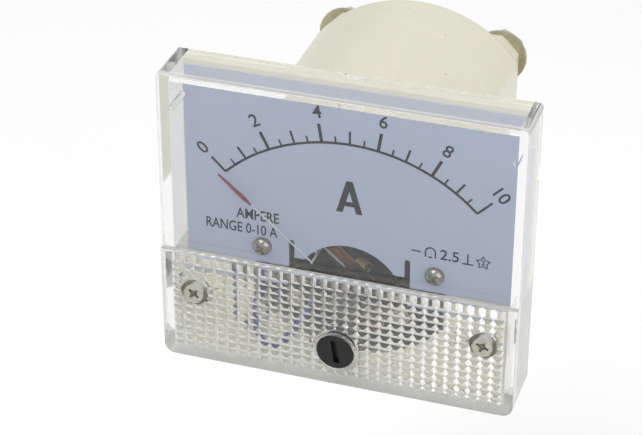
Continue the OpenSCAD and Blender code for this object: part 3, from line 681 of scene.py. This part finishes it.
def blue_lead():
    """The insulated wire from the left tag, in a loop behind the band, to the front bridge."""
    from_tag = (
        (-11.1, 32.25, 10), (-13.6, 30.8, 9.4), (-15.9, 28.5, 6.4), (-16.4, 22, 0.5),
        (-16.5, 13, -7.4), (-16.6, 7, -11), (-16.6, 1.6, -12.8), (-16.5, -1.8, -13.6)
    )
    loop = (
        (-16.5, -3.3, -15.2), (-16.6, -3.5, -17.6), (-16.6, -3.5, -20.6), (-16, -3.5, -22.6),
        (-14.8, -3.5, -23.8), (-13.3, -3.5, -23.9), (-11.7, -3.5, -22.8), (-9.9, -3.5, -20.2)
    )
    to_bridge = ((-8.2, -3.4, -17), (-7.2, -2.9, -14.7), (-6.5, -1.6, -13.2), (-6.2, -1.4, -12.4))
    route = from_tag + loop + to_bridge
    let_go()
    bpy.ops.curve.primitive_nurbs_path_add()
    lead = named("blue_wire")
    line = lead.data.splines[0]
    line.points.add(len(route) - len(line.points))
    for point, place in zip(line.points, route):
        point.co = (*place, 1)
    line.use_endpoint_u = True
    line.order_u = 4
    lead.data.resolution_u = 4
    lead.data.bevel_depth = 0.72
    lead.data.bevel_resolution = 3
    lead.data.use_fill_caps = True
    bpy.ops.object.convert(target="MESH")
    lead = bpy.context.object
    smooth(lead, 40)
    finish_piece(lead, "housing", BLUE)
    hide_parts("blue_lead")


dial_screws()
cover_screws()
terminals()
studs()
adjuster()
blue_lead()


# ---------------------------------------------------------------- dial print

INK_WIDTH = 0.26
INK_Y = (DIAL_Y - 0.035, DIAL_Y - 0.005)
LEGEND_HEIGHT = 2.07
LEGEND_WEIGHT = 0.012
FIGURE_HEIGHT = 2.45
FIGURE_REACH = 37.6
FIRST_FIGURE = -45
BETWEEN_FIGURES = 18


def print_on_dial(name, words, x, z, height, turn=0.0, narrow=1.0, heavy=0.0, wide=None):
    """Words of the given height; wide sets their length and overrules narrow."""
    let_go()
    bpy.ops.object.text_add(location=(0, 0, 0))
    obj = named(name)
    obj.data.body = words
    obj.data.align_x = "CENTER"
    obj.data.align_y = "CENTER"
    obj.data.offset = heavy
    obj.data.extrude = 0.02 / height
    obj.data.resolution_u = 6
    bpy.ops.object.convert(target="MESH")
    obj = bpy.context.object
    xs = [v.co.x for v in obj.data.vertices]
    ys = [v.co.y for v in obj.data.vertices]
    scale = height / (max(ys) - min(ys))
    if wide:
        narrow = wide / (max(xs) - min(xs)) / scale
    obj.data.transform(Matrix.Translation((-(max(xs) + min(xs)) / 2, -(max(ys) + min(ys)) / 2, 0)))
    obj.scale = (scale * narrow, scale, 1)
    settle(obj)
    obj.rotation_euler = (math.pi / 2, 0, 0)
    settle(obj)
    obj.data.transform(Matrix.Rotation(turn, 4, "Y"))
    obj.data.transform(Matrix.Translation((x, DIAL_Y - 0.015, z)))
    return finish_piece(obj, "housing", INK)


def dash(name, x0, x1, z0, z1):
    """An upright rectangle of ink."""
    return block(name, (x0, INK_Y[0], z0), (x1, INK_Y[1], z1))


def inked(obj):
    """Finishes a piece of print."""
    return finish_piece(obj, "housing", INK)


def star(name, x, z, reach, y0, y1):
    """A five-pointed star between two depths."""
    let_go()
    bpy.ops.mesh.primitive_circle_add(
        vertices=10, radius=reach, fill_type="NGON", location=(x, y0, z), rotation=(math.pi / 2, 0, 0)
    )
    obj = settle(named(name))
    middle = Vector((x, y0, z))
    for i, vert in enumerate(obj.data.vertices):
        if i % 2:
            vert.co = middle + (vert.co - middle) * 0.56
    bpy.ops.object.mode_set(mode="EDIT")
    bpy.ops.mesh.select_all(action="SELECT")
    bpy.ops.mesh.extrude_region_move(TRANSFORM_OT_translate={"value": (0, y1 - y0, 0)})
    bpy.ops.mesh.select_all(action="SELECT")
    bpy.ops.mesh.normals_make_consistent(inside=False)
    bpy.ops.object.mode_set(mode="OBJECT")
    return obj


def class_signs():
    """The usual signs of a meter: direct current, moving coil, upright use and test voltage."""
    half = INK_WIDTH / 2
    inked(dash("sign_direct_current", 11.15, 12.87, -2.58 - half, -2.58 + half))

    x, z, radius = 14.55, -2.38, 0.875
    outer = [(y, radius + half) for y in INK_Y]
    arch = turned("sign_moving_coil", x, z, outer, 32)
    cut(arch, turned("arch inside", x, z, [(-4, radius - half), (-1, radius - half)], 32))
    cut(arch, block("arch below", (13, -4, -4), (16, -1, z)))
    for leg_x in (x - radius, x + radius):
        add(arch, dash("leg", leg_x - half, leg_x + half, -3.45, z + 0.01))
    inked(arch)
    inked(dash("sign_moving_coil_bar", 14.2, 14.88, -3.4 - half, -3.4 + half))

    foot = dash("sign_upright", 20.16, 22.12, -3.53 - half, -3.53 + half)
    inked(add(foot, dash("upright stem", 21.14 - half, 21.14 + half, -3.6, -1.5)))

    x, z = 23.85, -2.74
    outline = star("sign_test_voltage", x, z, 1.42, *INK_Y)
    inked(cut(outline, star("star inside", x, z, 1.06, INK_Y[0] - 0.2, INK_Y[0] + 0.3)))
    print_on_dial("sign_test_voltage_figure", "2", x, z + 0.02, 0.95, narrow=0.9, heavy=0.03)


def unit_letter():
    """The capital letter A of the unit, from two leaning strokes and a bar."""
    low, high = 2.65, 8.95
    half, lean = 0.55, math.radians(15.8)
    letter = spun(dash("unit_letter", -half, half, low - 2, high + 2), 0, high, -lean)
    add(letter, spun(dash("stroke", -half, half, low - 2, high + 2), 0, high, lean))
    add(letter, dash("bar", -1.4, 1.4, low + 1.3, low + 2.2))
    common(letter, block("between lines", (-5, -4, low), (5, -1, high)))
    inked(letter)


def legend(name, words, x, z, wide):
    """A line of small words, drawn to a given width."""
    print_on_dial(name, words, x, z, LEGEND_HEIGHT, heavy=LEGEND_WEIGHT, wide=wide)


def dial_print():
    for i, figure in enumerate(("0", "2", "4", "6", "8", "10")):
        turn = math.radians(FIRST_FIGURE + BETWEEN_FIGURES * i)
        x = FIGURE_REACH * math.sin(turn)
        z = ARC_Z + FIGURE_REACH * math.cos(turn)
        print_on_dial("figure_" + figure, figure, x, z, FIGURE_HEIGHT, turn, 0.98, 0.012)
    unit_letter()
    legend("legend_upper", "AMPERE", -16.7, -1.02, 7.9)
    legend("legend_lower", "RANGE 0-10 A", -19.7, -3.96, 13.2)
    legend("accuracy_figure", "2.5", 17.93, -2.5, 3.3)
    class_signs()


dial_print()

for name, finish in NODE_FINISH.items():
    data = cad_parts[name].data
    data.materials.clear()
    data.materials.append(finish)


# ---------------------------------------------------------------- studio

def floor():
    bpy.ops.mesh.primitive_plane_add(size=6, location=(0, 0, -0.1))
    ground = named("floor")
    ground.data.materials.append(finish_of("floor paper", (0.95, 0.95, 0.95), 0.9)[0])


def soft_sky():
    """Even grey light all round, brightest overhead."""
    world = bpy.data.worlds.new("studio")
    bpy.context.scene.world = world
    world.use_nodes = True
    tree = world.node_tree
    around = tree.nodes.new("ShaderNodeTexCoord").outputs["Generated"]
    height = spread_over(tree, split(tree, around)["Z"], (-1.0, 1.0))
    ramp = tree.nodes.new("ShaderNodeValToRGB")
    tree.links.new(height, ramp.inputs["Fac"])
    below, above = ramp.color_ramp.elements
    below.color = (0.5, 0.5, 0.5, 1)
    above.color = (0.86, 0.86, 0.86, 1)
    ramp.color_ramp.elements.new(0.5).color = (0.56, 0.56, 0.56, 1)
    tree.links.new(ramp.outputs["Color"], tree.nodes["Background"].inputs["Color"])


def soft_lamp(name, place, size, power):
    """A square lamp that faces the middle of the meter."""
    light = bpy.data.lights.new(name, "AREA")
    light.size = size
    light.energy = power
    lamp = bpy.data.objects.new(name, light)
    bpy.context.scene.collection.objects.link(lamp)
    lamp.location = place
    lamp.rotation_euler = (-Vector(place)).to_track_quat("-Z", "Y").to_euler()


def camera():
    lens = bpy.data.cameras.new("camera")
    lens.sensor_width = 36
    lens.lens = 123.38
    lens.clip_start = 0.01
    view = bpy.data.objects.new("camera", lens)
    bpy.context.scene.collection.objects.link(view)
    view.location = (0.09505, -0.30914, 0.20108)
    direction = Vector((-0.26415, 0.80697, -0.52823))
    view.rotation_euler = direction.to_track_quat("-Z", "Y").to_euler()
    bpy.context.scene.camera = view


let_go()
floor()
soft_sky()
soft_lamp("key", (-0.25, -0.25, 0.8), 0.6, 2.9)
soft_lamp("fill", (0.7, -0.5, 0.35), 0.7, 2.6)
camera()
bpy.context.scene.view_settings.view_transform = "Standard"

# Light has to pass through many faces of clear plastic.
bpy.context.scene.cycles.max_bounces = 32
bpy.context.scene.cycles.transmission_bounces = 32
bpy.context.scene.cycles.glossy_bounces = 8
